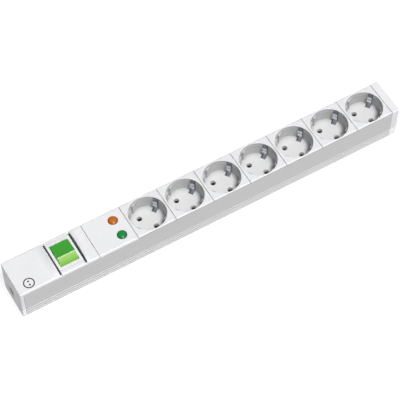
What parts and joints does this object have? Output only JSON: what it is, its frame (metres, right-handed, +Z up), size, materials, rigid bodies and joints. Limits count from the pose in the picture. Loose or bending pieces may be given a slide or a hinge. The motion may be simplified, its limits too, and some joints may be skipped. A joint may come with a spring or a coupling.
{
  "type": "power strip",
  "caption": "Slim rack power strip: aluminium channel, snap-in earthed round sockets, guarded green rocker switch, surge module with two indicator lamps.",
  "frame": {"origin": "centre of the base", "axes": "+X along the strip from the switch end to the plain end cap, +Z up out of the sockets, -Y the side the switch is pressed on"},
  "size_m": [0.44, 0.042, 0.0492],
  "materials": {
    "anodised_aluminium": "satin anodised",
    "white_plastic": "satin moulded",
    "socket_plastic": "satin moulded",
    "switch_frame_plastic": "satin moulded",
    "black_plastic": "matte",
    "grey_plastic": "matte",
    "terminal_ceramic": "matte",
    "green_rocker": "glossy translucent look",
    "plated_steel": "zinc plated",
    "clip_metal": "bright nickel plated",
    "brass": "bright",
    "lamp_glass": "clear",
    "orange_lens": "glossy",
    "green_lens": "glossy",
    "circuit_board": "coated",
    "varistor_blue": "coated",
    "fuse_white": "matte",
    "brown_insulation": "matte",
    "blue_insulation": "matte",
    "green_yellow_insulation": "matte"
  },
  "bodies": {
    "strip": {"housing_profile": "anodised_aluminium", "switch_end_cover": "white_plastic", "right_end_cap": "white_plastic", "switch_frame": "switch_frame_plastic", "cord_bush": "white_plastic", "clamp_base": "grey_plastic", "clamp_bar": "grey_plastic", "terminal_block": "terminal_ceramic", "live_switch_seat": "brass", "neutral_switch_seat": "brass", "live_switch_contact": "brass", "neutral_switch_contact": "brass", "rocker_lamp": "lamp_glass", "indicator_cover": "white_plastic", "orange_lens": "orange_lens", "green_lens": "green_lens", "surge_board": "circuit_board", "gas_discharge_tube": "terminal_ceramic", "thermal_fuse": "fuse_white", "orange_lamp": "lamp_glass", "green_lamp": "lamp_glass", "live_busbar": "brass", "neutral_busbar": "brass", "bar_tray": "grey_plastic", "earth_rail": "clip_metal", "live_lead": "brown_insulation", "switched_live_lead": "brown_insulation", "neutral_lead": "blue_insulation", "switched_neutral_lead": "blue_insulation", "earth_lead": "green_yellow_insulation", "surge_live_wire": "black_plastic", "surge_neutral_wire": "black_plastic", "surge_earth_wire": "green_yellow_insulation", "end_cap_screw_1": "plated_steel", "end_cap_screw_2": "plated_steel", "end_cap_screw_3": "plated_steel", "end_cap_screw_4": "plated_steel", "clamp_screw_1": "plated_steel", "clamp_screw_2": "plated_steel", "terminal_screw_1": "plated_steel", "varistor_1": "varistor_blue", "terminal_screw_2": "plated_steel", "varistor_2": "varistor_blue", "terminal_screw_3": "plated_steel", "varistor_3": "varistor_blue", "socket_1": "socket_plastic", "socket_2": "socket_plastic", "socket_3": "socket_plastic", "socket_4": "socket_plastic", "socket_5": "socket_plastic", "socket_6": "socket_plastic", "socket_7": "socket_plastic"},
    "rocker": {"rocker": "green_rocker", "live_plunger": "black_plastic", "neutral_plunger": "black_plastic", "live_plunger_spring": "plated_steel", "neutral_plunger_spring": "plated_steel"},
    "live_lever": {"live_contact_lever": "brass"},
    "neutral_lever": {"neutral_contact_lever": "brass"}
  },
  "joints": [
    {"name": "rocker_tilt", "type": "hinge", "parent": "strip", "child": "rocker", "pos_m": [-0.161, 0.0005, 0.04], "axis": [-1, 0, 0], "range_deg": [0, 12]},
    {"name": "live_lever_tilt", "type": "hinge", "parent": "strip", "child": "live_lever", "pos_m": [-0.167, 0.0005, 0.02745], "axis": [-1, 0, 0], "range_deg": [-8.4, 0]},
    {"name": "neutral_lever_tilt", "type": "hinge", "parent": "strip", "child": "neutral_lever", "pos_m": [-0.155, 0.0005, 0.02745], "axis": [-1, 0, 0], "range_deg": [-8.4, 0]}
  ],
  "couplings": [
    {"joint": "live_lever_tilt", "follows": "rocker_tilt", "ratio": -0.7},
    {"joint": "neutral_lever_tilt", "follows": "rocker_tilt", "ratio": -0.7}
  ]
}
